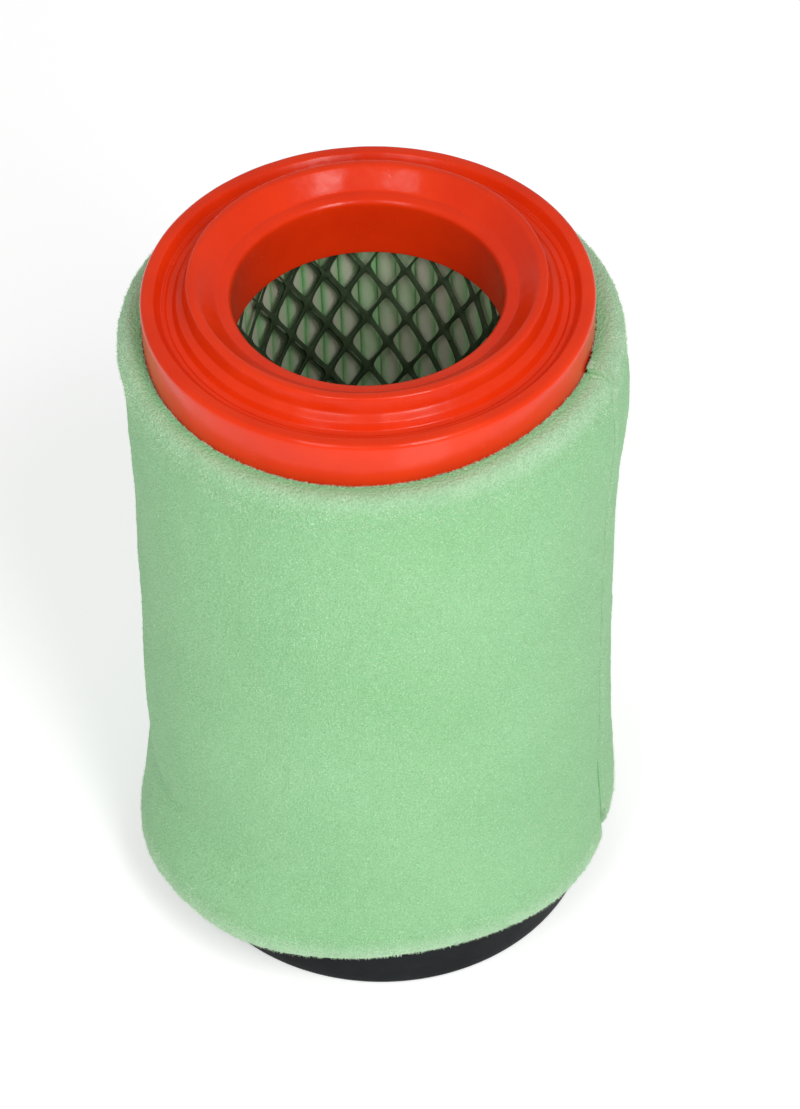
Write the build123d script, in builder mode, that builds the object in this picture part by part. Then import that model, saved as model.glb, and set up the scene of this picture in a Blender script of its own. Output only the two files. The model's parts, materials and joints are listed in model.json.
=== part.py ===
"""Cylindrical air filter cartridge with a pull-off foam pre-cleaner.

Frame: millimetres, +Z up, origin at the centre of the closed end's flat
underside. The open end, with the outlet bore and the seal ring, is on top.
The sleeve's bonded seam faces -20 degrees about +Z, measured from +X.
"""

import os
from math import cos, radians, sin

from build123d import *

os.makedirs("parts", exist_ok=True)

# ---- driving dimensions ----
cap_diameter = 82.6  # both end caps
overall_height = 152.4  # closed end's underside to the seal land
bore_diameter = 49.6  # outlet bore, straight wall

cap_radius = cap_diameter / 2
bore_radius = bore_diameter / 2

# ---- end caps ----
top_cap_depth = 16.1  # seal land to the cap's underside
bottom_cap_depth = 13.0
potting_depth = 3.0  # how far the paper and the tube stand in each cap
rim_fillet = 1.0
edge_fillet = 0.35
bottom_edge_fillet = 1.6
bottom_dish_radius = 22.0
bottom_dish_depth = 5.0
bottom_dish_taper = 20
bottom_ring_radius = 31.0
bottom_ring_width = 2.4
bottom_ring_depth = 0.8

top_cap_underside = overall_height - top_cap_depth

# The top cap's face, from the bore outwards: a radius and a drop below the land.
mouth_drop = 3.5  # ledge at the bore's mouth
funnel_radius, funnel_drop = 27.0, 3.4
land_inner_radius = 31.1
land_outer_radius = 32.6
seal_foot_radius, seal_foot_drop = 33.4, 3.0
step_radius, step_drop = 34.7, 3.9
groove_inner_radius, groove_edge_drop = 35.4, 5.2
groove_floor_radius, groove_drop = 36.4, 5.4
ridge_radius, ridge_drop = 36.9, 4.9
groove_outer_radius = 37.5
rim_inner_radius, rim_drop = 38.8, 3.4

# ---- inner support tube of expanded metal ----
tube_inner_radius = 25.4
sheet_thickness = 0.9
strand_width = 1.3
diamonds_around = 21
diamond_height = 12.7
lattice_angle = 82.5  # a strand crossing stands at this angle
lattice_height = 125.8  # and at this height
lap_start_angle = 99.0
lap_end_angle = 133.0
lap_columns = 8  # half-pitch columns of openings that reach past the lap
lap_shift_angle = 1.5
lap_shift_height = 0.9
lap_gap = 0.02
cutter_overlap = 2.0  # how far a cutter starts inside and ends outside the sheet

tube_outer_radius = tube_inner_radius + sheet_thickness
lap_inner_radius = tube_outer_radius + lap_gap
lap_outer_radius = lap_inner_radius + sheet_thickness
pack_bottom = bottom_cap_depth - potting_depth
pack_top = top_cap_underside + potting_depth
pack_height = pack_top - pack_bottom

# ---- pleated paper ----
pleat_count = 48
pleat_half_step = 180 / pleat_count
pleat_inner_radius = 27.7
pleat_outer_radius = 38.2
paper_thickness = 0.6
seam_pleat = 44  # index of the pleat that closes the pack into a ring
seam_bead_radius = 1.4
seam_fill_radius = 31.0
seam_fill_share = 2 / 3  # of half a pleat's pitch

# ---- foam pre-cleaner sleeve ----
sleeve_top = overall_height - 11.1
sleeve_bottom = 15.0
sleeve_inner_radius = cap_radius + 0.4
sleeve_thickness = 4.6
sleeve_flare = 4.0  # how much wider the sleeve is at its lower edge
flare_start = 38.0
flare_full = 20.0
flare_bend_radius = 14.0
sleeve_edge_fillet = 1.6
seam_angle = -20.0
seam_ridge_radius = 5.4
seam_ridge_centre = 43.2
ridge_bottom = 34.0
notch_half_angle = 2.6
notch_depth = 2.0
notch_overlap = 1.0
bond_thickness = 0.4


def polar(radius, angle):
    """Point in the XY plane at a radius and an angle in degrees."""
    return (radius * cos(radians(angle)), radius * sin(radians(angle)))


def radial_plane(angle, radius, height):
    """Plane facing outwards at a radius: X runs round the axis, Y runs up."""
    x, y = polar(radius, angle)
    tangent = (-sin(radians(angle)), cos(radians(angle)), 0)
    outward = (cos(radians(angle)), sin(radians(angle)), 0)
    return Plane(origin=(x, y, height), x_dir=tangent, z_dir=outward)


def zigzag():
    """Middle line of the pleats, alternating between the two tip radii."""
    points = []
    for k in range(pleat_count):
        points.append(polar(pleat_inner_radius, 2 * k * pleat_half_step))
        points.append(polar(pleat_outer_radius, (2 * k + 1) * pleat_half_step))
    return points


# Section of the folded paper, used for the pack and for its seats in the caps.
with BuildSketch() as paper_outside:
    with BuildLine():
        Polyline(*zigzag(), close=True)
    make_face()
    offset(amount=paper_thickness / 2)

with BuildSketch() as paper_inside:
    with BuildLine():
        Polyline(*zigzag(), close=True)
    make_face()
    offset(amount=-paper_thickness / 2)

with BuildSketch() as paper_section:
    add(paper_outside.sketch)
    add(paper_inside.sketch, mode=Mode.SUBTRACT)


def tube_seat():
    """Ring that the support tube and its lapped seam stand in."""
    Circle(lap_outer_radius + lap_gap)
    Circle(tube_inner_radius, mode=Mode.SUBTRACT)


# ---- pleated paper pack ----
with BuildPart() as pleated_media:
    with BuildSketch(Plane.XY.offset(pack_bottom)):
        add(paper_section.sketch)
    extrude(amount=pack_height)
pleated_media.part.label = "pleated_media"

# ---- hot-melt bead that closes the pack: a fill inside one pleat, a cap outside ----
seam_tip_angle = (2 * seam_pleat + 1) * pleat_half_step
seam_fill_angle = seam_fill_share * pleat_half_step
with BuildPart() as media_seam_bead:
    with BuildSketch(Plane.XY.offset(bottom_cap_depth)):
        with Locations(polar(pleat_outer_radius, seam_tip_angle)):
            Circle(seam_bead_radius)
        with BuildLine():
            Polyline(
                polar(pleat_outer_radius, seam_tip_angle),
                polar(seam_fill_radius, seam_tip_angle - seam_fill_angle),
                polar(seam_fill_radius, seam_tip_angle + seam_fill_angle),
                close=True,
            )
        make_face()
        add(paper_section.sketch, mode=Mode.SUBTRACT)
    extrude(amount=top_cap_underside - bottom_cap_depth)
media_seam_bead.part.label = "media_seam_bead"

# ---- expanded metal tube, rolled up with a lapped seam ----
column_step = 180 / diamonds_around
half_width = tube_outer_radius * radians(column_step)
half_height = diamond_height / 2
strand_slope = (half_width**2 + half_height**2) ** 0.5
hole_half_width = half_width - strand_width / 2 * strand_slope / half_height
hole_half_height = half_height - strand_width / 2 * strand_slope / half_width
cutter_start = tube_inner_radius - cutter_overlap
cutter_depth = lap_outer_radius + cutter_overlap - cutter_start


def diamond_cutters(first_column, last_column, shift_angle, shift_height):
    """Prisms for the diamond openings of a range of half-pitch columns."""
    middle = (pack_bottom + pack_top) / 2
    rows = int(pack_height / diamond_height) + 3
    prisms = []
    for column in range(first_column, last_column):
        angle = lattice_angle + column * column_step + shift_angle
        crossing = lattice_height + half_height * (column % 2) + shift_height
        centre = middle + (crossing + half_height - middle) % diamond_height
        with BuildPart() as prism_column:
            with BuildSketch(radial_plane(angle, cutter_start, centre)):
                with GridLocations(1, diamond_height, 1, rows):
                    Polygon(
                        (hole_half_width, 0),
                        (0, hole_half_height),
                        (-hole_half_width, 0),
                        (0, -hole_half_height),
                    )
            extrude(amount=cutter_depth)
        prisms.append(prism_column.part)
    return prisms


lap_prisms = diamond_cutters(0, lap_columns, lap_shift_angle, lap_shift_height)
with BuildPart() as tube_lap:
    with BuildSketch(Plane.XY.offset(pack_bottom)):
        Circle(lap_outer_radius)
        Circle(lap_inner_radius, mode=Mode.SUBTRACT)
        with BuildLine():
            Polyline(
                (0, 0),
                polar(2 * cap_radius, lap_start_angle),
                polar(2 * cap_radius, lap_end_angle),
                close=True,
            )
        make_face(mode=Mode.INTERSECT)
    extrude(amount=pack_height)
    add(lap_prisms, mode=Mode.SUBTRACT, clean=False)

# Clippings that the cut leaves loose at the lap's edges are dropped.
lap_sheet = tube_lap.part.solids().sort_by(SortBy.VOLUME)[-1]
tube_prisms = diamond_cutters(0, 2 * diamonds_around, 0, 0)
with BuildPart() as inner_support_tube:
    with BuildSketch(Plane.XY.offset(pack_bottom)):
        Circle(tube_outer_radius)
        Circle(tube_inner_radius, mode=Mode.SUBTRACT)
    extrude(amount=pack_height)
    add(tube_prisms, mode=Mode.SUBTRACT, clean=False)
    add(lap_sheet, clean=False)
inner_support_tube.part.label = "inner_support_tube"

# ---- moulded top end cap with the outlet bore and the seal ring ----
land = overall_height
soft_radii = (bore_radius, land_inner_radius, land_outer_radius, rim_inner_radius)


def face_edges(part, radii):
    """Circular edges of the cap's upper face with one of the given radii."""
    circles = part.edges().filter_by(GeomType.CIRCLE)
    upper = circles.filter_by(lambda edge: edge.center().Z > land - groove_drop)
    return upper.filter_by(lambda edge: any(abs(edge.radius - r) < 0.01 for r in radii))


with BuildPart() as top_end_cap:
    with BuildSketch(Plane.XZ):
        with BuildLine():
            Polyline(
                (bore_radius, top_cap_underside),
                (bore_radius, land - mouth_drop),
                (funnel_radius, land - funnel_drop),
                (land_inner_radius, land),
                (land_outer_radius, land),
                (seal_foot_radius, land - seal_foot_drop),
                (step_radius, land - step_drop),
                (groove_inner_radius, land - groove_edge_drop),
                (groove_floor_radius, land - groove_drop),
                (ridge_radius, land - ridge_drop),
                (groove_outer_radius, land - groove_edge_drop),
                (rim_inner_radius, land - rim_drop),
                (cap_radius, land - rim_drop),
                (cap_radius, top_cap_underside),
                close=True,
            )
        make_face()
    revolve(axis=Axis.Z)
    fillet(face_edges(top_end_cap, [cap_radius]), radius=rim_fillet)
    fillet(face_edges(top_end_cap, soft_radii), radius=edge_fillet)
    with BuildSketch(Plane.XY.offset(top_cap_underside)):
        tube_seat()
        add(paper_section.sketch)
    extrude(amount=potting_depth, mode=Mode.SUBTRACT)
top_end_cap.part.label = "top_end_cap"

# ---- moulded bottom end cap, closed ----
with BuildPart() as bottom_end_cap:
    Cylinder(cap_radius, bottom_cap_depth, align=(Align.CENTER, Align.CENTER, Align.MIN))
    fillet(bottom_end_cap.edges().group_by(Axis.Z)[0], radius=bottom_edge_fillet)
    fillet(bottom_end_cap.edges().group_by(Axis.Z)[-1], radius=edge_fillet)
    with BuildSketch(Plane.XY.offset(bottom_cap_depth)):
        Circle(bottom_dish_radius)
    extrude(amount=-bottom_dish_depth, taper=bottom_dish_taper, mode=Mode.SUBTRACT)
    with BuildSketch():
        Circle(bottom_ring_radius + bottom_ring_width / 2)
        Circle(bottom_ring_radius - bottom_ring_width / 2, mode=Mode.SUBTRACT)
    extrude(amount=bottom_ring_depth, mode=Mode.SUBTRACT)
    with BuildSketch(Plane.XY.offset(pack_bottom)):
        tube_seat()
        add(paper_section.sketch)
    extrude(amount=potting_depth, mode=Mode.SUBTRACT)
bottom_end_cap.part.label = "bottom_end_cap"

# ---- foam sleeve: a strip bent into a tube, its two ends bonded face to face ----
sleeve_outer_radius = sleeve_inner_radius + sleeve_thickness
flared_inner_radius = sleeve_inner_radius + sleeve_flare
flared_outer_radius = sleeve_outer_radius + sleeve_flare
sleeve_length = sleeve_top - sleeve_bottom
seam_reach = flared_outer_radius + bond_thickness


def at_any(value, targets):
    """Whether a coordinate equals one of the targets."""
    return any(abs(value - target) < 0.01 for target in targets)


with BuildPart() as sleeve_blank:
    with BuildSketch(Plane.XZ) as sleeve_profile:
        with BuildLine():
            Polyline(
                (sleeve_inner_radius, sleeve_top),
                (sleeve_inner_radius, flare_start),
                (flared_inner_radius, flare_full),
                (flared_inner_radius, sleeve_bottom),
                (flared_outer_radius, sleeve_bottom),
                (flared_outer_radius, flare_full),
                (sleeve_outer_radius, flare_start),
                (sleeve_outer_radius, sleeve_top),
                close=True,
            )
        make_face()
        corners = sleeve_profile.vertices()
        bends = corners.filter_by(lambda v: at_any(v.Y, (flare_start, flare_full)))
        fillet(bends, radius=flare_bend_radius)
        ends = sleeve_profile.vertices().filter_by(lambda v: at_any(v.Y, (sleeve_bottom, sleeve_top)))
        outer_ends = ends.filter_by(lambda v: at_any(v.X, (sleeve_outer_radius, flared_outer_radius)))
        fillet(outer_ends, radius=sleeve_edge_fillet)
    revolve(axis=Axis.Z)
    with BuildSketch(Plane.XY.offset(ridge_bottom)):
        with Locations(polar(seam_ridge_centre, seam_angle)):
            Circle(seam_ridge_radius)
        Circle(sleeve_inner_radius, mode=Mode.SUBTRACT)
    extrude(amount=sleeve_top - sleeve_edge_fillet - ridge_bottom)
    with BuildSketch(Plane.XY.offset(ridge_bottom)):
        with BuildLine():
            Polyline(
                polar(sleeve_inner_radius - notch_overlap, seam_angle - notch_half_angle),
                polar(sleeve_inner_radius + notch_depth, seam_angle),
                polar(sleeve_inner_radius - notch_overlap, seam_angle + notch_half_angle),
                close=True,
            )
        make_face()
    extrude(amount=sleeve_top - ridge_bottom, mode=Mode.SUBTRACT)

# The bond lies in the seam's radial plane and fills the slit between the ends.
with BuildSketch(Plane.XY.offset(sleeve_bottom)) as bond_section:
    with Locations(Location((*polar(seam_reach / 2, seam_angle), 0), (0, 0, seam_angle))):
        Rectangle(seam_reach, bond_thickness)

with BuildPart() as foam_sleeve:
    add(sleeve_blank.part)
    extrude(bond_section.sketch, amount=sleeve_length, mode=Mode.SUBTRACT)
foam_sleeve.part.label = "foam_sleeve"

with BuildPart() as foam_seam_bond:
    add(sleeve_blank.part)
    extrude(bond_section.sketch, amount=sleeve_length, mode=Mode.INTERSECT)
foam_seam_bond.part.label = "foam_seam_bond"

# ---- one file for each piece ----
for piece in (
    top_end_cap,
    bottom_end_cap,
    inner_support_tube,
    pleated_media,
    media_seam_bead,
    foam_sleeve,
    foam_seam_bond,
):
    export_step(piece.part, f"parts/{piece.part.label}.step")
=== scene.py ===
"""Looks of the air filter cartridge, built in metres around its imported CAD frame.

The cartridge body carries the two moulded caps, the expanded-metal tube and the
pleated paper. The precleaner body carries the foam sleeve.
"""

import json
from math import cos, hypot, pi, radians, sin

import bpy
import numpy as np
from mathutils import Matrix, Vector


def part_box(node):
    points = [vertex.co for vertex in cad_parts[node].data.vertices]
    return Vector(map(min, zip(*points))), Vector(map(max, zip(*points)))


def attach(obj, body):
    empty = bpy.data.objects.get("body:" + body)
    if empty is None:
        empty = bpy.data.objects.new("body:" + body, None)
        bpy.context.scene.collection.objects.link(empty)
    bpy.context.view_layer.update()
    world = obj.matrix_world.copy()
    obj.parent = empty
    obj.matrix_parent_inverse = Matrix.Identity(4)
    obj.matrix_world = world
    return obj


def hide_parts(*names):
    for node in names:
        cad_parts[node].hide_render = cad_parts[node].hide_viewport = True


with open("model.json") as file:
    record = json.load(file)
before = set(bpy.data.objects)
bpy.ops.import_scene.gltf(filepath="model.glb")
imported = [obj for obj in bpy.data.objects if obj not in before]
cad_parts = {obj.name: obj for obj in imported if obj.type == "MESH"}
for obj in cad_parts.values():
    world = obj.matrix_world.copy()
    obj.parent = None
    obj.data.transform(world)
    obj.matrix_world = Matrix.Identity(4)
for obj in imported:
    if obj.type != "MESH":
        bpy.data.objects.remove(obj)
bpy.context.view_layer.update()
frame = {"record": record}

MM = 0.001
SEED = 11
HARD_EDGE = radians(62)  # faces that meet more sharply than this keep a crisp edge

# ---- sizes read from the frame ----
cap_low, cap_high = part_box("top_end_cap")
_, base_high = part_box("bottom_end_cap")
sleeve_low, sleeve_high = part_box("foam_sleeve")
_, paper_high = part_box("pleated_media")

CAP_R = float(cap_high[0])
TOP = float(cap_high[2])
CAP_UNDERSIDE = float(cap_low[2])
BASE_TOP = float(base_high[2])
SLEEVE_TOP = float(sleeve_high[2])
SLEEVE_BOTTOM = float(sleeve_low[2])
PAPER_R = float(paper_high[0])
mounts = {m["name"]: m for m in frame["record"]["mounts"]}
BORE_R = mounts["outlet_bore"]["dims"]["r_mm"] * MM


# ---- helpers ----
def new_piece(name, points, faces, materials, body, replaced):
    """Makes a smooth mesh piece that rides on a body and stands for CAD nodes."""
    mesh = bpy.data.meshes.new(name)
    mesh.from_pydata([tuple(p) for p in np.asarray(points, float)], [], faces)
    mesh.update()
    mesh.polygons.foreach_set("use_smooth", [True] * len(mesh.polygons))
    mesh.set_sharp_from_angle(angle=HARD_EDGE)
    piece = bpy.data.objects.new(name, mesh)
    bpy.context.scene.collection.objects.link(piece)
    for material in materials:
        mesh.materials.append(material)
    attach(piece, body)
    if replaced:
        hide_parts(*replaced)
    return piece


def round_corners(points, radii, steps=5):
    """Replaces each corner of a closed outline with an arc of the given radius."""
    out = []
    count = len(points)
    for k, (corner, radius) in enumerate(zip(points, radii)):
        here = np.array(corner, float)
        if radius <= 0:
            out.append(tuple(here))
            continue
        back = np.array(points[k - 1], float) - here
        ahead = np.array(points[(k + 1) % count], float) - here
        back /= np.linalg.norm(back)
        ahead /= np.linalg.norm(ahead)
        half = 0.5 * np.arccos(np.clip(back @ ahead, -1, 1))
        reach = radius / np.tan(half)
        bisector = (back + ahead) / np.linalg.norm(back + ahead)
        centre = here + bisector * radius / np.sin(half)
        start = here + back * reach - centre
        end = here + ahead * reach - centre
        turn = np.arctan2(start[0] * end[1] - start[1] * end[0], start @ end)
        first = np.arctan2(start[1], start[0])
        for i in range(steps + 1):
            angle = first + turn * i / steps
            out.append(tuple(centre + radius * np.array([cos(angle), sin(angle)])))
    return out


def subdivide(outline, longest):
    """Adds points to a closed outline so that no side is over the given length."""
    out = []
    for k, a in enumerate(outline):
        b = outline[(k + 1) % len(outline)]
        parts = max(1, int(np.ceil(hypot(b[0] - a[0], b[1] - a[1]) / longest)))
        for i in range(parts):
            out.append((a[0] + (b[0] - a[0]) * i / parts, a[1] + (b[1] - a[1]) * i / parts))
    return out


def waves(points, wavelength, seed, count=48):
    """Smooth random field, about -1 to 1, made of plane waves near one wavelength."""
    rng = np.random.default_rng(seed)
    directions = rng.normal(size=(count, 3))
    directions /= np.linalg.norm(directions, axis=1)[:, None]
    numbers = 2 * pi / (wavelength * rng.uniform(0.7, 1.5, count))
    phases = rng.uniform(0, 2 * pi, count)
    total = np.zeros(len(points))
    for direction, number, phase in zip(directions, numbers, phases):
        total += np.sin(points @ direction * number + phase)
    return total / np.sqrt(count)


def ring_faces(rings, around):
    """Quads between rings of points, closed both ways, as on a doughnut."""
    faces = []
    for i in range(rings):
        for k in range(around):
            a = i * around + k
            b = i * around + (k + 1) % around
            c = ((i + 1) % rings) * around + (k + 1) % around
            d = ((i + 1) % rings) * around + k
            faces.append((a, b, c, d))
    return faces


def lathe(outline, around):
    """Points of a closed outline of (radius, height) turned about Z."""
    angles = np.arange(around) * 2 * pi / around
    radius = np.array([p[0] for p in outline])[:, None]
    height = np.array([p[1] for p in outline])[:, None]
    x = radius * np.cos(angles)[None]
    y = radius * np.sin(angles)[None]
    z = height + np.zeros((1, around))
    return np.stack([x, y, z], -1).reshape(-1, 3)


# ---- materials ----
class Nodes:
    """Short names for building one node material."""

    def __init__(self, name):
        self.material = bpy.data.materials.new(name)
        self.material.use_nodes = True
        self.tree = self.material.node_tree
        self.shader = self.tree.nodes["Principled BSDF"]
        self.place = self.tree.nodes.new("ShaderNodeTexCoord").outputs["Object"]

    def add(self, kind, **values):
        node = self.tree.nodes.new("ShaderNode" + kind)
        for key, value in values.items():
            if key in node.inputs:
                node.inputs[key].default_value = value
            else:
                setattr(node, key, value)
        return node

    def link(self, source, target):
        self.tree.links.new(source, target)

    def noise(self, scale, detail=3.0, roughness=0.5, stretch=None):
        node = self.add("TexNoise", Scale=scale, Detail=detail, Roughness=roughness)
        self.link(self.stretched(stretch), node.inputs["Vector"])
        return node.outputs["Fac"]

    def cells(self, scale):
        """Distance to the nearest cell's middle."""
        node = self.add("TexVoronoi", feature="F1", Scale=scale)
        self.link(self.place, node.inputs["Vector"])
        return node.outputs["Distance"]

    def stretched(self, stretch):
        if stretch is None:
            return self.place
        node = self.add("Mapping", Scale=stretch)
        self.link(self.place, node.inputs["Vector"])
        return node.outputs["Vector"]

    def axis_distance(self):
        """Distance from the cartridge's axis."""
        flat = self.add("VectorMath", operation="MULTIPLY")
        self.link(self.place, flat.inputs[0])
        flat.inputs[1].default_value = (1, 1, 0)
        length = self.add("VectorMath", operation="LENGTH")
        self.link(flat.outputs[0], length.inputs[0])
        return length.outputs["Value"]

    def height(self):
        """Height above the floor."""
        node = self.add("SeparateXYZ")
        self.link(self.place, node.inputs["Vector"])
        return node.outputs["Z"]

    def ramp(self, source, low, high, out_low=0.0, out_high=1.0):
        """Straight ramp from one value to another between two values of the source."""
        node = self.add("MapRange")
        values = {"From Min": low, "From Max": high, "To Min": out_low, "To Max": out_high}
        for key, value in values.items():
            node.inputs[key].default_value = value
        self.link(source, node.inputs["Value"])
        return node.outputs["Result"]

    def mix(self, amount, first, second):
        node = self.add("Mix", data_type="RGBA")
        self.link(amount, node.inputs["Factor"])
        for socket, colour in ((node.inputs["A"], first), (node.inputs["B"], second)):
            if isinstance(colour, tuple):
                socket.default_value = (*colour, 1)
            else:
                self.link(colour, socket)
        return node.outputs["Result"]

    def sum(self, first, second, weight=1.0):
        """First value plus the second one times a weight."""
        node = self.add("Math", operation="MULTIPLY_ADD")
        self.link(second, node.inputs[0])
        node.inputs[1].default_value = weight
        self.link(first, node.inputs[2])
        return node.outputs["Value"]

    def set(self, **values):
        names = {"ior": "IOR", "sss": "Subsurface Weight", "sss_radius": "Subsurface Radius"}
        names.update(sss_scale="Subsurface Scale", roughness="Roughness", colour="Base Color")
        names.update(sheen="Sheen Weight", sheen_roughness="Sheen Roughness", sheen_tint="Sheen Tint")
        names.update(coat="Coat Weight", coat_roughness="Coat Roughness")
        names.update(specular="Specular IOR Level")
        for key, value in values.items():
            socket = self.shader.inputs[names[key]]
            if isinstance(value, bpy.types.NodeSocket):
                self.link(value, socket)
            elif key in ("colour", "sheen_tint"):
                socket.default_value = (*value, 1)
            else:
                socket.default_value = value

    def bump(self, height, distance, strength=1.0):
        node = self.add("Bump", Strength=strength, Distance=distance)
        self.link(height, node.inputs["Height"])
        self.link(node.outputs["Normal"], self.shader.inputs["Normal"])


def seal_rubber():
    """Soft red-orange polyurethane: satin skin, faint mottling, lips that glow."""
    n = Nodes("seal_rubber")
    cloud = n.noise(60, detail=4)
    colour = n.mix(n.ramp(cloud, 0.35, 0.7), (0.70, 0.028, 0.0020), (0.80, 0.039, 0.0035))
    dust = n.ramp(n.noise(1700, detail=2), 0.70, 0.82, 0.0, 0.6)
    n.set(colour=n.mix(dust, colour, (0.88, 0.10, 0.04)))
    n.set(roughness=n.ramp(n.noise(220, detail=5), 0.3, 0.75, 0.17, 0.29))
    n.set(specular=0.24, sss=0.05, sss_radius=(0.9, 0.10, 0.03), sss_scale=0.0012)
    ripple = n.sum(n.noise(130, detail=2), n.noise(900, detail=3), 0.10)
    n.bump(ripple, 0.0006, 0.35)
    return n.material


def base_rubber():
    """Blue-black moulded polyurethane of the closed end."""
    n = Nodes("base_rubber")
    cloud = n.noise(90, detail=4)
    n.set(colour=n.mix(n.ramp(cloud, 0.3, 0.7), (0.004, 0.005, 0.006), (0.008, 0.010, 0.012)))
    n.set(roughness=n.ramp(n.noise(260, detail=5), 0.3, 0.75, 0.36, 0.52))
    n.set(specular=0.1)
    n.bump(n.sum(n.noise(150, detail=2), n.noise(1300, detail=3), 0.2), 0.0005, 0.3)
    return n.material


def mesh_paint():
    """Thin dark green-black paint on steel, worn at a few spots."""
    n = Nodes("mesh_paint")
    patch = n.ramp(n.noise(340, detail=5), 0.35, 0.7)
    colour = n.mix(patch, (0.028, 0.050, 0.023), (0.050, 0.080, 0.042))
    worn = n.ramp(n.noise(1700, detail=3), 0.69, 0.76)
    n.set(colour=n.mix(worn, colour, (0.16, 0.17, 0.15)))
    n.set(roughness=n.ramp(n.noise(800, detail=4), 0.3, 0.7, 0.25, 0.5))
    n.set(specular=0.6, coat=0.25, coat_roughness=0.15)
    n.bump(n.noise(1500, detail=4), 0.0002, 0.4)
    return n.material


def paper(name, pale, shaded, crease):
    """Resin-treated pleated paper: fibres, blotches, pale creases, and painted shade and green light
    deeper between the pleats.
    """
    n = Nodes(name)
    fibres = n.noise(900, detail=6, roughness=0.7, stretch=(1, 1, 0.35))
    blotch = n.ramp(n.noise(55, detail=3), 0.38, 0.66)
    # Painted light and shade: upright stripes of the shaded tone, which on the core side stands for
    # green light coming through the foam.
    painted_light_stripes = n.ramp(n.noise(420, detail=2, stretch=(1, 1, 0.02)), 0.42, 0.60)
    tone = n.mix(painted_light_stripes, n.mix(blotch, pale, shaded), shaded)
    radius = n.axis_distance()
    # Painted shade: away from the inner fold tips, deeper into the pleats, the colour turns to the
    # shaded tone.
    tone = n.mix(n.ramp(radius, PLEAT_IN + 0.15 * MM, PLEAT_IN + 0.45 * MM), tone, shaded)
    tone = n.mix(n.ramp(radius, PLEAT_IN, PLEAT_IN - 0.25 * MM, 0.0, 0.8), tone, crease)
    n.set(colour=n.mix(n.ramp(fibres, 0.40, 0.80, 0.0, 0.5), tone, crease))
    n.set(roughness=n.ramp(fibres, 0.3, 0.7, 0.82, 0.95), specular=0.25)
    n.set(sss=0.5, sss_radius=(0.8, 1.0, 0.7), sss_scale=0.002)
    n.bump(n.sum(fibres, n.noise(2600, detail=2), 0.4), 0.0003, 0.5)
    return n.material


def glue(name, first, second):
    """Hot-melt or foam glue, slightly glossy and uneven."""
    n = Nodes(name)
    n.set(colour=n.mix(n.ramp(n.noise(420, detail=4), 0.35, 0.7), first, second))
    n.set(roughness=n.ramp(n.noise(700, detail=3), 0.3, 0.7, 0.4, 0.6), specular=0.4)
    n.bump(n.noise(700, detail=3), 0.0004, 0.5)
    return n.material


def open_foam(name, main, light, pore, glint, painted_edge_sheen):
    """Fine open-cell foam: pores, strut glints, soft clouds, and paler top and lower edges, a painted
    sheen for their lit fuzz.
    """
    n = Nodes(name)
    cloud = n.ramp(n.noise(30, detail=4, roughness=0.6), 0.35, 0.68)
    tone = n.mix(cloud, main, light)
    # Painted sheen: the colour turns paler near the top and lower edges, for the light caught by their
    # fuzz.
    from_top = n.ramp(n.height(), SLEEVE_TOP - 0.0050, SLEEVE_TOP - 0.0010, 0.0, 0.55)
    from_low = n.ramp(n.height(), FOAM_LOW + 0.0060, FOAM_LOW + 0.0010, 0.0, 0.85)
    tone = n.mix(n.sum(from_top, from_low), tone, painted_edge_sheen)
    grain = n.ramp(n.noise(2300, detail=3, roughness=0.7), 0.35, 0.55, 0.34, 0.0)
    tone = n.mix(grain, tone, pore)
    pores = n.ramp(n.noise(2300, detail=2, roughness=0.6), 0.62, 0.70, 0.0, 0.55)
    tone = n.mix(pores, tone, pore)
    specks = n.ramp(n.noise(3100, detail=2, roughness=0.6), 0.57, 0.70, 0.0, 0.45)
    tone = n.mix(specks, tone, glint)
    # Painted against bounce light: within a few mm of the red cap the foam turns a deeper, less red
    # green, to cancel the red light the cap throws on it.
    cap_bounce_fix = n.ramp(n.axis_distance(), CAP_R + 2.6 * MM, CAP_R + 0.2 * MM, 0.0, 0.8)
    n.set(colour=n.mix(cap_bounce_fix, tone, (0.17, 0.60, 0.24)))
    cell = n.cells(1900)
    n.set(roughness=n.ramp(cell, 0.0, 0.6, 0.80, 0.98), specular=0.12)
    n.set(sheen=0.18, sheen_roughness=0.5, sheen_tint=(0.9, 0.97, 0.9))
    n.bump(n.sum(n.ramp(cell, 0.0, 0.7), n.noise(900, detail=4), 0.8), 0.0005, 0.5)
    return n.material


# ---- moulded top end cap ----
def cap_outline():
    """Closed outline of the top cap, outwards from the bore, in metres."""
    corners = [
        ((BORE_R, CAP_UNDERSIDE), 0.3),
        ((BORE_R, TOP - 3.6 * MM), 1.25),
        ((26.7 * MM, TOP - 3.3 * MM), 0.7),
        ((27.4 * MM, TOP - 3.3 * MM), 0.8),
        ((31.1 * MM, TOP), 1.0),
        ((32.6 * MM, TOP), 0.55),
        ((33.4 * MM, TOP - 3.0 * MM), 0.8),
        ((34.7 * MM, TOP - 3.9 * MM), 0.45),
        ((35.4 * MM, TOP - 5.2 * MM), 0.35),
        ((36.4 * MM, TOP - 5.4 * MM), 0.3),
        ((36.9 * MM, TOP - 4.9 * MM), 0.2),
        ((37.5 * MM, TOP - 5.2 * MM), 0.3),
        ((38.8 * MM, TOP - 3.4 * MM), 0.7),
        ((CAP_R, TOP - 3.4 * MM), 1.0),
        ((CAP_R, CAP_UNDERSIDE), 0.3),
    ]
    return round_corners([c for c, _ in corners], [r * MM for _, r in corners])


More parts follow.
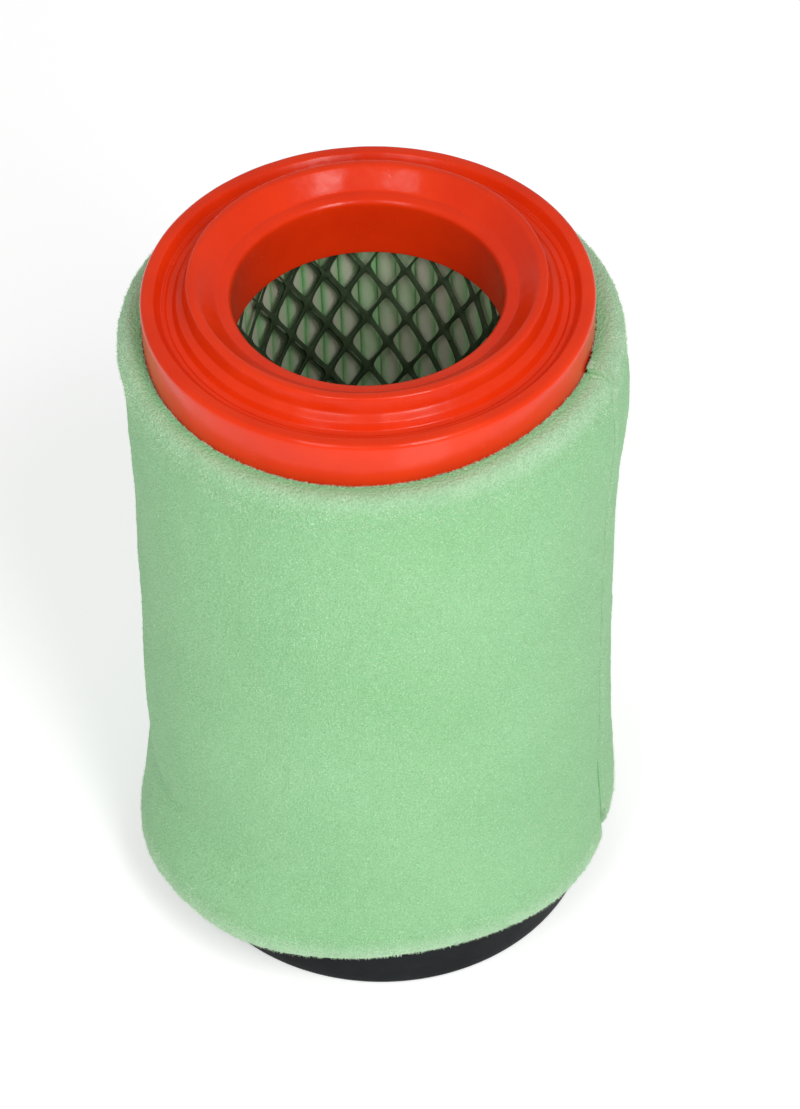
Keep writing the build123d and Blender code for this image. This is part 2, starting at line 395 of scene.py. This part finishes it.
def build_top_cap():
    """Turned cap whose moulded face swells a little, except at bore, land and rim."""
    around = 288
    longest_side = 0.9 * MM
    points = lathe(subdivide(cap_outline(), longest_side), around)
    slow = waves(points, 24 * MM, SEED)
    fast = waves(points, 6 * MM, SEED + 1)
    swell_out = 0.05 * slow + 0.025 * fast
    swell_up = 0.04 * slow + 0.02 * fast
    radius = np.hypot(points[:, 0], points[:, 1])
    outward = points[:, :2] / radius[:, None]
    off_bore = np.clip((radius - BORE_R) / (2 * MM), 0, 1)
    off_rim = np.clip((CAP_R - radius) / (1 * MM), 0, 1)
    inner = off_bore * off_rim
    points[:, :2] += outward * (inner * swell_out * MM)[:, None]
    below_land = np.clip((TOP - points[:, 2]) / (0.6 * MM), 0, 1)
    points[:, 2] += below_land * inner * swell_up * MM
    faces = [tuple(reversed(f)) for f in ring_faces(len(points) // around, around)]
    rubber = [seal_rubber()]
    piece = new_piece("top_cap_moulding", points, faces, rubber, "cartridge", ["top_end_cap"])


# ---- moulded bottom end cap ----
def build_bottom_cap():
    """Turned closed cap: ring groove below, dish above, wider at the foot."""
    around = 240
    foot_r, shoulder_r = CAP_R + 0.95 * MM, CAP_R + 0.60 * MM
    ring_in, ring_out, ring_deep = 29.8 * MM, 32.2 * MM, 0.8 * MM
    dish_r, dish_floor_r, dish_floor = 22.0 * MM, 20.2 * MM, BASE_TOP - 5.0 * MM
    eye = 0.02 * MM  # pinhole on the axis, so that the outline never meets it
    corners = [
        ((eye, 0.0), 0.0),
        ((ring_in, 0.0), 0.3),
        ((ring_in, ring_deep), 0.2),
        ((ring_out, ring_deep), 0.2),
        ((ring_out, 0.0), 0.3),
        ((foot_r, 0.0), 1.2),
        ((shoulder_r, BASE_TOP), 0.5),
        ((dish_r, BASE_TOP), 0.8),
        ((dish_floor_r, dish_floor), 1.2),
        ((eye, dish_floor), 0.0),
    ]
    outline = round_corners([c for c, _ in corners], [r * MM for _, r in corners])
    longest_side = 1.6 * MM
    outline = subdivide(outline, longest_side)
    points = lathe(outline, around)
    faces = ring_faces(len(outline), around)
    rubber = [base_rubber()]
    piece = new_piece("bottom_cap_moulding", points, faces, rubber, "cartridge", ["bottom_end_cap"])


# ---- expanded metal tube ----
TUBE_IN = 25.4 * MM
SHEET = 0.55 * MM
DIAMONDS = 21
HALF_HIGH = 6.35 * MM
HALF_WIDE = (TUBE_IN + SHEET) * pi / DIAMONDS
STRAND = 0.80 * MM
STRAND_TILT = 0.34 * MM  # how far a strand leans out of the sheet
LATTICE_ANGLE = radians(82.5)
LATTICE_HEIGHT = 125.8 * MM
LAP_COLUMNS = 5
LAP_TURN = radians(1.6)
LAP_DROP = 0.9 * MM
LAP_RADIUS = TUBE_IN + 1.15 * SHEET
TUBE_WOBBLE = 0.10 * MM


def hole_reach(direction_x, direction_y):
    """Distance from a diamond's centre to its rounded opening's edge, along a ray."""
    slope = hypot(HALF_WIDE, HALF_HIGH)
    a = HALF_WIDE - STRAND / 2 * slope / HALF_HIGH
    b = HALF_HIGH - STRAND / 2 * slope / HALF_WIDE
    blunt_x, blunt_y, sharpness = a * 0.88, b * 0.97, 9
    side = 1 / (abs(direction_x) / a + abs(direction_y) / b)
    limits = [side, blunt_x / max(abs(direction_x), 1e-9), blunt_y / max(abs(direction_y), 1e-9)]
    return sum((limit / side) ** -sharpness for limit in limits) ** (-1 / sharpness) * side


def expanded_sheet(columns, start_angle, start_height, low, high, radius, closed):
    """Mesh of a curved expanded-metal sheet as (points, faces).

    Each diamond is a frame round its opening: rings of points run from the middle
    of the strands, over the outer face, through the hole and back on the inner face.
    """
    fractions = (0.0, 0.08, 0.2, 0.35, 0.5, 0.65, 0.8, 0.92)
    corners = [(HALF_WIDE, 0), (0, HALF_HIGH), (-HALF_WIDE, 0), (0, -HALF_HIGH)]
    rim = []
    for k in range(4):
        (ax, ay), (bx, by) = corners[k], corners[(k + 1) % 4]
        rim += [(ax + (bx - ax) * f, ay + (by - ay) * f) for f in fractions]
    edge = [np.array(p) * hole_reach(*p) for p in rim]
    # How far from strand to hole, and the side of the sheet in thicknesses.
    layers = [(0.0, 0.5), (0.93, 0.5), (1.0, 0.34), (1.0, -0.34), (0.93, -0.5), (0.0, -0.5)]
    points, faces, shared, uses = [], [], {}, {}
    step = 2 * HALF_WIDE
    wrap = round(columns * HALF_WIDE / step) * step

    def place(u, v, across):
        angle = start_angle + u / (TUBE_IN + SHEET)
        r = radius + SHEET / 2 + across
        return (r * cos(angle), r * sin(angle), start_height + v)

    def index(u, v, across, key):
        if key is not None:
            if closed:
                u = u % wrap
                if wrap - u < 1e-7:
                    u = 0.0
            key = (round(u / 1e-6 + 0.25), round(v / 1e-6 + 0.25), key)
            if key in shared:
                return shared[key]
            shared[key] = len(points)
        points.append(place(u, v, across))
        return len(points) - 1

    for column in range(columns):
        row_low = int(np.floor((low - start_height) / (2 * HALF_HIGH))) - 1
        row_high = int(np.ceil((high - start_height) / (2 * HALF_HIGH))) + 1
        for row in range(row_low, row_high):
            centre_u = column * HALF_WIDE
            centre_v = (2 * row + 1 + column % 2) * HALF_HIGH
            if not low <= start_height + centre_v <= high:
                continue
            rings = []
            for layer, (w, side) in enumerate(layers):
                ring = []
                for rim_point, edge_point in zip(rim, edge):
                    x = rim_point[0] * (1 - w) + edge_point[0] * w
                    y = rim_point[1] * (1 - w) + edge_point[1] * w
                    tilt = STRAND_TILT * w * x / HALF_WIDE
                    key = side if w == 0 else None
                    ring.append(index(centre_u + x, centre_v + y, side * SHEET + tilt, key))
                rings.append(ring)
            count = len(rim)
            for a, b in zip(rings, rings[1:]):
                for k in range(count):
                    j = (k + 1) % count
                    faces.append((a[k], a[j], b[j], b[k]))
            for k in range(count):
                j = (k + 1) % count
                pair = (rings[0][k], rings[0][j], rings[-1][k], rings[-1][j])
                uses.setdefault(frozenset(pair[:2]), []).append(pair)
    for pairs in uses.values():
        if len(pairs) == 1:
            a, b, c, d = pairs[0]
            faces.append((b, a, c, d))
    return points, faces


def build_tube():
    """Closed tube of expanded metal with a short second sheet over its joint."""
    low, high = BASE_TOP - 2.0 * MM, CAP_UNDERSIDE + 1.5 * MM
    points, faces = expanded_sheet(
        2 * DIAMONDS, LATTICE_ANGLE, LATTICE_HEIGHT, low, high, TUBE_IN, True
    )
    lap_angle = LATTICE_ANGLE + 2 * HALF_WIDE / (TUBE_IN + SHEET) + LAP_TURN
    lap_points, lap_faces = expanded_sheet(
        LAP_COLUMNS, lap_angle, LATTICE_HEIGHT - LAP_DROP, low, high, LAP_RADIUS, False
    )
    offset = len(points)
    faces += [tuple(i + offset for i in f) for f in lap_faces]
    points = np.array(points + lap_points)
    wobble = TUBE_WOBBLE * waves(points, 18 * MM, SEED + 2)
    points[:, :2] *= (1 + wobble / TUBE_IN)[:, None]
    paint = [mesh_paint()]
    piece = new_piece("expanded_metal_tube", points, faces, paint, "cartridge", ["inner_support_tube"])


# ---- pleated paper ----
PLEATS = 48
PLEAT_IN = 27.7 * MM
PAPER_THICK = 0.5 * MM
FOLD_GAP = 0.12 * MM  # between the walls of neighbouring pleats at their inner folds
OUTER_CREST = PAPER_R - 0.6 * MM
FOLD_TURNS = np.radians((-90, -62, -35, 0, 35, 62, 90))
PAPER_SWAY = 0.22 * MM
SEAM_PLEAT = 44


def pleat_line(rng):
    """Middle line of the folded paper as (x, y), with uneven rounded folds."""
    half = pi / PLEATS
    line = []
    lean = rng.normal(0, 0.10, 2 * PLEATS)
    depth = rng.normal(0, 0.08 * MM, 2 * PLEATS)
    inner_fold = (half * PLEAT_IN - (PAPER_THICK + FOLD_GAP) / 2, 0.55 * MM)
    outer_fold = (0.75 * MM, 0.70 * MM)
    for k in range(2 * PLEATS):
        outer = k % 2 == 1
        width, rise = outer_fold if outer else inner_fold
        way = 1 if outer else -1
        crest = (OUTER_CREST if outer else PLEAT_IN) + depth[k] * (0.4 if outer else 1)
        angle = (k + lean[k] * (1 if outer else 0.1)) * half
        for t in FOLD_TURNS:
            radius = crest - way * rise * (1 - cos(t))
            line.append((radius, angle + width * sin(t) / crest))
    return np.array([(r * cos(a), r * sin(a)) for r, a in line])


def build_paper():
    """Folded paper ring with thickness, its walls swaying along their height."""
    rng = np.random.default_rng(SEED + 3)
    middle = pleat_line(rng)
    heights = np.linspace(BASE_TOP - 1.5 * MM, CAP_UNDERSIDE + 1.5 * MM, 40)
    ahead = np.roll(middle, -1, 0) - middle
    behind = middle - np.roll(middle, 1, 0)
    ahead /= np.linalg.norm(ahead, axis=1)[:, None]
    behind /= np.linalg.norm(behind, axis=1)[:, None]
    tangent = ahead + behind
    tangent /= np.linalg.norm(tangent, axis=1)[:, None]
    normal = np.stack([tangent[:, 1], -tangent[:, 0]], 1)
    count = len(middle)
    points = []
    for side in (0.5, -0.5):
        for z in heights if side > 0 else heights[::-1]:
            row = middle + normal * side * PAPER_THICK
            row3 = np.column_stack([row, np.full(count, z)])
            sway = PAPER_SWAY * waves(row3, 30 * MM, SEED + 4)
            from_axis = np.hypot(row[:, 0], row[:, 1])[:, None]
            around_axis = np.column_stack([-row[:, 1], row[:, 0]]) / from_axis
            row3[:, :2] += around_axis * sway[:, None]
            points.append(row3)
    points = np.concatenate(points)
    faces = ring_faces(2 * len(heights), count)
    outer = paper("paper_outside", (0.74, 0.71, 0.60), (0.66, 0.63, 0.52), (0.80, 0.78, 0.70))
    # Painted light and shade: the core side is a darker, greener copy of the same paper, for the dim
    # bore and the green light that the foam lets through.
    inner = paper("paper_core_painted_light", (0.35, 0.41, 0.27), (0.20, 0.52, 0.20), (0.48, 0.46, 0.38))
    # A trace of light stands in for the daylight that comes through the paper.
    through = inner.node_tree.nodes["Principled BSDF"]
    through.inputs["Emission Color"].default_value = (0.50, 0.62, 0.38, 1)
    through.inputs["Emission Strength"].default_value = 0.035
    sides = [outer, inner]
    piece = new_piece("pleated_paper", points, faces, sides, "cartridge", ["pleated_media"])
    inside = [i >= len(heights) * count for i in range(len(faces))]
    piece.data.polygons.foreach_set("material_index", [int(i) for i in inside])


def build_paper_seam():
    """Hot-melt bead along one outer fold, lumpy from its nozzle."""
    low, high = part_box("media_seam_bead")
    angle = (2 * SEAM_PLEAT + 1) * pi / PLEATS
    heights = np.linspace(low[2], high[2], 70)
    around = 14
    points = []
    for z in heights:
        swell = 1 + 0.18 * sin(z / MM * 0.9) * sin(z / MM * 0.23 + 1)
        for k in range(around):
            t = 2 * pi * k / around
            radius = PAPER_R - 0.5 * MM + 1.25 * MM * swell * cos(t)
            side = 1.45 * MM * swell * sin(t) / PAPER_R
            points.append((radius * cos(angle + side), radius * sin(angle + side), z))
    faces = []
    for i in range(len(heights) - 1):
        for k in range(around):
            j = (k + 1) % around
            faces.append((i * around + k, i * around + j, (i + 1) * around + j, (i + 1) * around + k))
    faces.append(tuple(reversed(range(around))))
    faces.append(tuple(range((len(heights) - 1) * around, len(heights) * around)))
    material = glue("hot_melt_glue", (0.62, 0.52, 0.30), (0.72, 0.64, 0.44))
    piece = new_piece("paper_seam_bead", points, faces, [material], "cartridge", ["media_seam_bead"])


# ---- foam sleeve ----
SEAM = radians(-21.0)
SLEEVE_IN = CAP_R + 0.08 * MM
FOAM_LOW = SLEEVE_BOTTOM - 0.9 * MM
GLUE_HALF = 0.09 * MM / SLEEVE_IN  # half of the glue's thickness, as an angle
FOAM_AROUND = 440
EDGE_ROWS = 8  # on each rounded outer edge
SKIN_ROWS = 170
LIP_ROWS = 4  # on each rounded inner edge
LINING_ROWS = 30
OUTER_EDGE_R, INNER_EDGE_R = 2.6 * MM, 0.4 * MM
TOP_DIP = 2.0  # mm that the top edge sinks at the front left


def smooth_step(x, low, high):
    """Smooth 0 to 1 as x goes from low to high."""
    t = np.clip((x - low) / (high - low), 0, 1)
    return t * t * (3 - 2 * t)


def turn_from(angle, degrees):
    """Signed angle in degrees from a direction, between -180 and 180."""
    return (np.degrees(angle) - degrees + 180) % 360 - 180


def bump_at(angle, degrees, width):
    """Smooth bump round the axis, 1 at a direction and fading over a width."""
    return np.exp(-((turn_from(angle, degrees) / width) ** 2))


def sleeve_outside(angle, height):
    """Outer radius of the sleeve: two unlike sides, and a flare at the lower edge."""
    down = (TOP - height) / MM
    up = (height - FOAM_LOW) / MM
    left = 45.2 + 1.1 * (1 - smooth_step(down, 8, 25)) + 1.6 * smooth_step(down, 30, 118)
    right = 45.9 + 2.1 * np.exp(-(((down - 27) / 13) ** 2)) + 0.6 * smooth_step(down, 80, 130)
    front = 46.0 + 0.35 * smooth_step(down, 60, 125)
    to_left = bump_at(angle, 185, 75)
    to_right = bump_at(angle, 5, 42)
    radius = front + (left - front) * to_left + (right - front) * to_right
    around = np.degrees(angle) % 360
    flare = 0.5 + 5.0 * smooth_step(around, 160, 206) * (1 - smooth_step(around, 228, 280))
    flare += 1.7 * bump_at(angle, 321, 20) + 0.4 * bump_at(angle, 30, 60)
    return (radius + flare * np.clip(1 - up / 21, 0, 1) ** 0.85) * MM


def sleeve_section(angles, share):
    """Rows of points round the sleeve's closed section, for each angle of the strip."""
    behind = 1 - smooth_step(share, 0.0, 0.05)
    tuck = smooth_step(share, 0.94, 1.0)
    around = np.degrees(angles) % 360
    dip = TOP_DIP * smooth_step(around, 180, 205) * (1 - smooth_step(around, 255, 325))
    top = SLEEVE_TOP + (0.25 + 0.6 * behind - 0.5 * tuck - dip) * MM
    low = FOAM_LOW + (2.8 * (1 - smooth_step(share, 0.0, 0.022)) - 0.5 * tuck) * MM
    stand_off = 0.5 * MM * (1 - smooth_step(share, 0.0, 0.03))
    from_seam = np.minimum(share, 1 - share) * 2 * pi * SLEEVE_IN
    outer_r, inner_r = OUTER_EDGE_R, INNER_EDGE_R

    def outside(z):
        depth = 0.36 * smooth_step((TOP - z) / MM, 45, 100)
        return sleeve_outside(angles, z) - depth * MM * np.exp(-((from_seam / (0.7 * MM)) ** 2))

    def inside(z):
        flare = sleeve_outside(angles, z) - sleeve_outside(angles, FOAM_LOW + 24 * MM)
        mouth = smooth_step(z, top - 1.3 * MM, top - 0.1 * MM)
        return SLEEVE_IN + stand_off * mouth + np.clip(flare, 0, None)

    rows = []
    for t in np.linspace(0, pi / 2, EDGE_ROWS):
        rows.append((outside(top - outer_r) - outer_r * (1 - sin(t)), top - outer_r * (1 - cos(t))))
    for f in np.linspace(0, 1, SKIN_ROWS)[1:-1]:
        z = top - outer_r + (low - top + 2 * outer_r) * f
        rows.append((outside(z), z))
    for t in np.linspace(0, pi / 2, EDGE_ROWS):
        rows.append((outside(low + outer_r) - outer_r * (1 - cos(t)), low + outer_r * (1 - sin(t))))
    for t in np.linspace(0, pi / 2, LIP_ROWS):
        rows.append((inside(low + inner_r) + inner_r * (1 - sin(t)), low + inner_r * (1 - cos(t))))
    for f in np.linspace(0, 1, LINING_ROWS)[1:-1]:
        z = low + inner_r + (top - low - 2 * inner_r) * f
        rows.append((inside(z), z))
    for t in np.linspace(0, pi / 2, LIP_ROWS):
        rows.append((inside(top - inner_r) + inner_r * (1 - cos(t)), top - inner_r * (1 - sin(t))))
    radius = np.array([r + 0 * angles for r, _ in rows])
    height = np.array([z + 0 * angles for _, z in rows])
    return radius, height


def build_sleeve():
    """Foam strip bent into a tube, uneven and grained, open at the seam for its glue."""
    around = FOAM_AROUND
    share = np.linspace(0, 1, around)
    angles = SEAM + GLUE_HALF + 2 * (pi - GLUE_HALF) * share
    radius, height = sleeve_section(angles, share)
    count = len(radius)
    turn = np.broadcast_to(angles, radius.shape)
    flat = np.stack([radius * np.cos(turn), radius * np.sin(turn), height], -1).reshape(-1, 3)
    from_axis = np.hypot(flat[:, 0], flat[:, 1])
    free = smooth_step(from_axis, SLEEVE_IN + 0.1 * MM, SLEEVE_IN + 2.2 * MM)
    soft = 0.16 * waves(flat, 34 * MM, SEED + 5) + 0.05 * waves(flat, 7 * MM, SEED + 6)
    grain = 0.05 * waves(flat, 1.7 * MM, SEED + 7, 64)
    seam_hold = np.tile(smooth_step(np.minimum(share, 1 - share), 0, 0.01), count)
    push = (soft + grain * seam_hold) * free * MM
    flat[:, :2] *= (1 + push / from_axis)[:, None]
    faces = []
    for i in range(count):
        j = (i + 1) % count
        for k in range(around - 1):
            faces.append((i * around + k, j * around + k, j * around + k + 1, i * around + k + 1))
    faces.append(tuple(reversed([i * around for i in range(count)])))
    faces.append(tuple(i * around + around - 1 for i in range(count)))
    skin = open_foam(
        "foam_skin",
        main=(0.262, 0.535, 0.262),
        light=(0.300, 0.575, 0.296),
        pore=(0.09, 0.30, 0.10),
        glint=(0.62, 0.86, 0.60),
        # paler edge colour: painted sheen of the lit fuzz on the top and lower edges
        painted_edge_sheen=(0.50, 0.68, 0.49),
    )
    piece = new_piece("foam_sleeve_body", flat, faces, [skin], "precleaner", ["foam_sleeve"])
    build_fuzz(flat.reshape(count, around, 3))


def build_sleeve_glue():
    """Thin glue sheet between the two ends of the foam strip."""
    radius, height = sleeve_section(np.array([SEAM]), np.array([1.0]))
    radius, height = radius[:, 0], height[:, 0]
    outside, shrink = 45.8 * MM, 0.97
    middle = (SLEEVE_IN + outside) / 2
    radius = middle + (radius - middle) * shrink
    low, high = FOAM_LOW + 3.1 * MM, height.max() - 0.2 * MM
    height = low + (height - height.min()) / (height.max() - height.min()) * (high - low)
    count = len(radius)
    points = []
    face_turn = 0.9 * GLUE_HALF
    for angle in (SEAM - face_turn, SEAM + face_turn):
        points += list(zip(radius * cos(angle), radius * sin(angle), height))
    faces = [(k, (k + 1) % count, count + (k + 1) % count, count + k) for k in range(count)]
    faces.append(tuple(reversed(range(count))))
    faces.append(tuple(range(count, 2 * count)))
    material = glue("foam_glue", (0.25, 0.52, 0.25), (0.29, 0.57, 0.29))
    piece = new_piece("foam_seam_glue", points, faces, [material], "precleaner", ["foam_seam_bond"])


# First and last row of the sleeve, number of struts, and their length in mm.
FUZZ = (
    ((0, 14), 12500, 0.52),  # top edge
    ((170, 186), 15000, 0.55),  # lower edge
    ((14, 170), 17500, 0.34),  # skin
    ((-3, 0), 4000, 0.42),  # inner lip of the top edge, counted from the last row
)


def build_fuzz(grid):
    """Broken cell struts that stand off the foam's cut edges and skin."""
    rng = np.random.default_rng(SEED + 8)
    rows, around = grid.shape[:2]
    du = np.roll(grid, -1, 1) - grid
    dv = np.roll(grid, -1, 0) - np.roll(grid, 1, 0)
    normal = np.cross(dv, du)
    normal /= np.linalg.norm(normal, axis=2)[:, :, None] + 1e-12
    points, faces = [], []
    for (first, last), number, length in FUZZ:
        from_end = rows if first < 0 else 0
        row = rng.integers(first + from_end, last + from_end, number)
        column = rng.integers(0, around - 1, number)
        column[: number // 20] %= 3  # a share of them beside the seam
        base = grid[row, column] + du[row, column] * rng.random(number)[:, None]
        base += dv[row, column] * rng.uniform(-0.25, 0.25, number)[:, None]
        out = normal[row, column] + rng.normal(0, 0.8, (number, 3))
        out /= np.linalg.norm(out, axis=1)[:, None]
        tip = base + out * (length * rng.uniform(0.5, 1.2, number) * MM)[:, None]
        base = base - out * 0.1 * MM  # rooted in the foam
        side = np.cross(out, rng.normal(size=(number, 3)))
        side /= np.linalg.norm(side, axis=1)[:, None]
        other = np.cross(out, side)
        thick = rng.uniform(0.045, 0.085, number)[:, None] * MM
        for b, t, s, o in zip(base, tip, side * thick, other * thick):
            a = len(points)
            points += [b + s, b - s / 2 + o, b - s / 2 - o, t]
            faces += [(a, a + 1, a + 3), (a + 1, a + 2, a + 3), (a + 2, a, a + 3), (a + 2, a + 1, a)]
    n = Nodes("foam_strut")
    # Painted sheen: the struts are paler than the foam itself, for lit fuzz.
    tone = n.ramp(n.noise(240, detail=3), 0.35, 0.68)
    n.set(colour=n.mix(tone, (0.44, 0.64, 0.42), (0.62, 0.78, 0.58)), roughness=0.85, specular=0.2)
    # The struts stand for no CAD node: foam_sleeve_body already stands for the foam.
    piece = new_piece("foam_edge_fuzz", points, faces, [n.material], "precleaner", [])


# ---- stage, lights and camera ----
FLOOR_GLOW, WORLD_GLOW = 0.34, 0.45
FLOOR_REACH = 3.0


def build_stage():
    """Plain pale floor and a plain white world."""
    mesh = bpy.data.meshes.new("studio_floor")
    turns = ((-1, -1), (1, -1), (1, 1), (-1, 1))
    corners = [(x * FLOOR_REACH, y * FLOOR_REACH, 0) for x, y in turns]
    mesh.from_pydata(corners, [], [(0, 1, 2, 3)])
    floor = bpy.data.objects.new("studio_floor", mesh)
    bpy.context.scene.collection.objects.link(floor)
    n = Nodes("pale_floor")
    pale = n.mix(n.noise(3, detail=2), (0.93, 0.93, 0.93), (0.95, 0.95, 0.95))
    n.set(colour=pale, roughness=0.9, specular=0.1)
    n.shader.inputs["Emission Color"].default_value = (1, 1, 1, 1)
    n.shader.inputs["Emission Strength"].default_value = FLOOR_GLOW
    mesh.materials.append(n.material)
    world = bpy.data.worlds.new("studio")
    world.use_nodes = True
    background = world.node_tree.nodes["Background"]
    background.inputs["Color"].default_value = (1, 1, 1, 1)
    background.inputs["Strength"].default_value = WORLD_GLOW
    bpy.context.scene.world = world


def softbox(name, direction, distance, wide, high, watts, aim_height=0.6):
    """Rectangular area light aimed at the cartridge."""
    aim = Vector((0, 0, TOP * aim_height))
    light = bpy.data.lights.new(name, "AREA")
    light.shape = "RECTANGLE"
    light.size, light.size_y = wide, high
    light.energy = watts
    lamp = bpy.data.objects.new(name, light)
    lamp.location = aim + Vector(direction).normalized() * distance
    lamp.rotation_euler = (aim - lamp.location).to_track_quat("-Z", "Y").to_euler()
    bpy.context.scene.collection.objects.link(lamp)
    return lamp


def build_lights():
    """Two tall softboxes, two small high ones, and a low card seen in reflections only."""
    far, near = 0.95, 0.198
    rim = 0.9  # aims at the top cap instead of the middle of the sleeve
    softbox("key_right", (0.36, -0.72, 0.66), far, 0.26, 0.56, 3.95)
    softbox("key_left", (-0.34, -0.72, 0.66), far, 0.20, 0.56, 1.35)
    softbox("high_right", (0.30, -0.50, 0.83), far, 0.19, 0.15, 0.85, rim)
    softbox("high_left", (-0.30, -0.50, 0.83), far, 0.19, 0.15, 0.70, rim)
    card = softbox("low_card", (0.31, -0.75, -0.58), near, 0.07, 0.14, 0.035, rim)
    card.visible_diffuse = False


def build_camera():
    """Looks down at 45 degrees through a long lens, turned slightly about its axis."""
    distance = 17.29 * CAP_R
    elevation = radians(45.47)
    roll = radians(-1.47)
    aim = Vector((0.112 * CAP_R, 0, TOP - 1.742 * CAP_R))
    data = bpy.data.cameras.new("camera")
    data.lens = 119.5
    data.sensor_width = 36.0
    data.clip_start = 0.01
    data.dof.use_dof = False
    camera = bpy.data.objects.new("camera", data)
    back = Vector((0, -cos(elevation), sin(elevation)))
    turn = Matrix.Rotation(pi / 2 - elevation, 4, "X") @ Matrix.Rotation(roll, 4, "Z")
    camera.matrix_world = Matrix.Translation(aim + back * distance) @ turn
    bpy.context.scene.collection.objects.link(camera)
    bpy.context.scene.camera = camera
    bpy.context.scene.view_settings.view_transform = "Standard"


build_camera()
build_stage()
build_lights()
build_top_cap()
build_bottom_cap()
build_tube()
build_paper()
build_paper_seam()
build_sleeve()
build_sleeve_glue()
